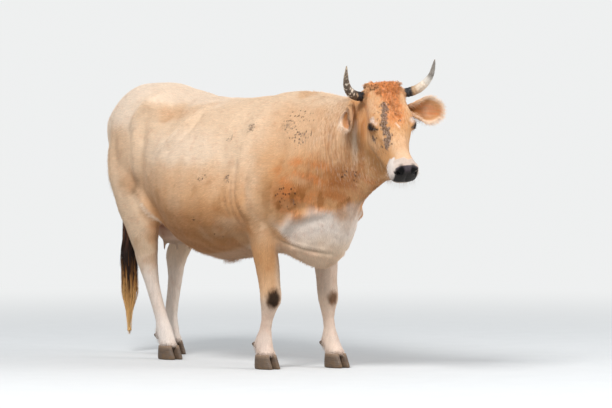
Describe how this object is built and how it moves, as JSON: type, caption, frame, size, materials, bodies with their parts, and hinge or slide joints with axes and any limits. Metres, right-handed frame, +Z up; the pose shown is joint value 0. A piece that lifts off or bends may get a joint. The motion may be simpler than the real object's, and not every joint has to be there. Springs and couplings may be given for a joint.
{
  "type": "cow",
  "caption": "Life-size standing cow with horns, fawn coat and long tail switch, as a still display model that rests on its hooves.",
  "frame": {"origin": "centre of the footprint of the whole cow, on the ground under it", "axes": "-Y is the way the cow faces, +X its left side, +Z up"},
  "size_m": [0.7194, 2.2658, 1.4103],
  "materials": {
    "coat": "short flat fawn hair, curly on the poll",
    "pale_coat": "short flat cream hair",
    "tail_hair": "long loose dark brown hair with a golden end",
    "horn": "smooth horn, cream with a dark end",
    "hoof": "dull dark horn",
    "eye": "wet, glossy"
  },
  "bodies": {
    "root": {"head": "coat", "neck": "coat", "trunk": "coat", "udder": "pale_coat", "foreleg_left": "pale_coat", "foreleg_right": "pale_coat", "hindleg_left": "pale_coat", "hindleg_right": "pale_coat", "tail_upper": "coat", "tail_middle": "coat", "tail_lower": "coat", "tail_switch": "tail_hair", "ear_left": "coat", "horn_left": "horn", "eye_left": "eye", "ear_right": "coat", "horn_right": "horn", "eye_right": "eye", "claw_fore_left_outer": "hoof", "claw_fore_left_inner": "hoof", "claw_fore_right_outer": "hoof", "claw_fore_right_inner": "hoof", "claw_hind_left_outer": "hoof", "claw_hind_left_inner": "hoof", "claw_hind_right_outer": "hoof", "claw_hind_right_inner": "hoof", "dewclaw_fore_left_outer": "hoof", "dewclaw_fore_left_inner": "hoof", "dewclaw_fore_right_outer": "hoof", "dewclaw_fore_right_inner": "hoof", "dewclaw_hind_left_outer": "hoof", "dewclaw_hind_left_inner": "hoof", "dewclaw_hind_right_outer": "hoof", "dewclaw_hind_right_inner": "hoof"}
  },
  "joints": []
}
